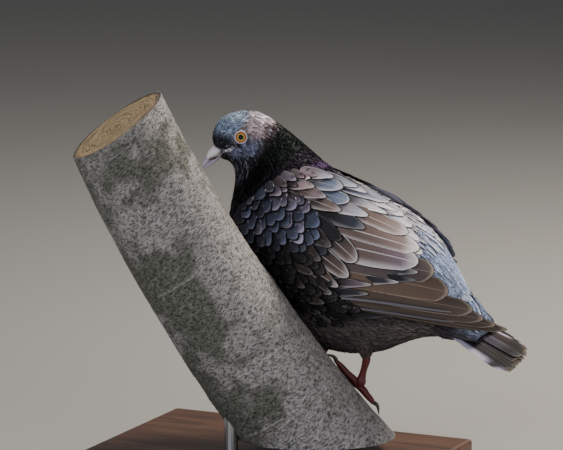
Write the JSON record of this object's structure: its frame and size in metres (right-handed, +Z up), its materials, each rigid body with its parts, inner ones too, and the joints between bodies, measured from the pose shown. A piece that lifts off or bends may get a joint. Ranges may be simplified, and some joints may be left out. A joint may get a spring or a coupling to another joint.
{
  "type": "pigeon model",
  "caption": "Life-size still model of a feral pigeon gripping a cut, leaning length of limb that rods hold over a flat wooden base.",
  "frame": {"origin": "centre of the underside of the display base", "axes": "+Z up; the bird's body faces -X, its left side is towards -Y, and the limb leans up towards -X and -Y"},
  "size_m": [0.3, 0.2443, 0.2843],
  "materials": {
    "head_feathers": "matte, short soft feathers, pale blue-grey",
    "neck_feathers": "sheened green and purple feathers",
    "body_feathers": "matte, loose soft feathers, dull grey",
    "wing_coverts": "matte, firm feathers, pale-edged lilac brown",
    "flight_feathers": "matte, stiff feathers, pale-edged brown",
    "tail_feathers": "matte, stiff feathers, slate with a dark end",
    "eye": "clear, wet, orange ring round a black centre",
    "bill_horn": "smooth grey horn",
    "cere": "chalky white",
    "leg_skin": "red scaled skin",
    "claw_horn": "dark horn",
    "bark": "rough grey bark, raw wood at the cuts",
    "walnut": "oiled",
    "steel": "brushed"
  },
  "bodies": {
    "root": {"cere": "cere", "claw_left_hind": "claw_horn", "claw_left_inner": "claw_horn", "claw_left_middle": "claw_horn", "claw_left_outer": "claw_horn", "claw_right_hind": "claw_horn", "claw_right_inner": "claw_horn", "claw_right_middle": "claw_horn", "claw_right_outer": "claw_horn", "eye_left": "eye", "eye_right": "eye", "flight_left": "flight_feathers", "flight_right": "flight_feathers", "foot_left": "leg_skin", "foot_right": "leg_skin", "head": "head_feathers", "lower_bill": "bill_horn", "neck": "neck_feathers", "perch_branch": "bark", "shank_left": "leg_skin", "shank_right": "leg_skin", "stand_base": "walnut", "stand_rod_back": "steel", "stand_rod_front": "steel", "tail": "tail_feathers", "thigh_left": "body_feathers", "thigh_right": "body_feathers", "trunk": "body_feathers", "upper_bill": "bill_horn", "wing_left": "wing_coverts", "wing_right": "wing_coverts"}
  },
  "joints": []
}
